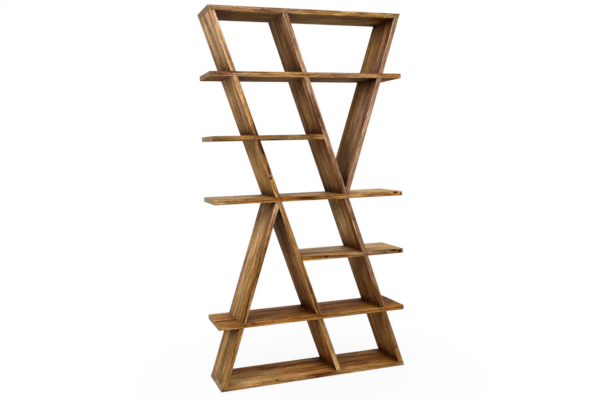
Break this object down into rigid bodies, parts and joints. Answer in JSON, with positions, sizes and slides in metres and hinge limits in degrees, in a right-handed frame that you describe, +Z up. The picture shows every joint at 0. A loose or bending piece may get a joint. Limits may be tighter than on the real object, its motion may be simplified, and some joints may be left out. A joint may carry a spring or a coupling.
{
  "type": "zigzag bookshelf",
  "caption": "Open free-standing bookshelf of slanted boards crossed by level shelves in a zigzag, solid warm brown timber, for books and ornaments.",
  "frame": {"origin": "on the floor, under the middle of the base board", "axes": "+Z up, +X to the right seen from the front, the front faces -Y"},
  "size_m": [1, 0.25, 1.848],
  "materials": {
    "timber": "solid edge-glued hardwood boards with strong grain, oiled, satin",
    "dowel_wood": "plain pale beech, hidden in the joints"
  },
  "bodies": {
    "root": {"top_board": "timber", "base_board": "timber", "left_diagonal": "timber", "right_diagonal": "timber", "upper_arm": "timber", "lower_arm": "timber", "upper_shelf": "timber", "left_short_shelf": "timber", "middle_shelf": "timber", "right_short_shelf": "timber", "lower_shelf": "timber", "left_diagonal_head_dowels": "dowel_wood", "right_diagonal_head_dowels": "dowel_wood", "upper_arm_head_dowels": "dowel_wood", "left_diagonal_foot_dowels": "dowel_wood", "right_diagonal_foot_dowels": "dowel_wood", "lower_arm_foot_dowels": "dowel_wood", "left_short_shelf_dowels": "dowel_wood", "right_short_shelf_dowels": "dowel_wood", "upper_arm_tip_dowels": "dowel_wood", "lower_arm_tip_dowels": "dowel_wood"}
  },
  "joints": []
}
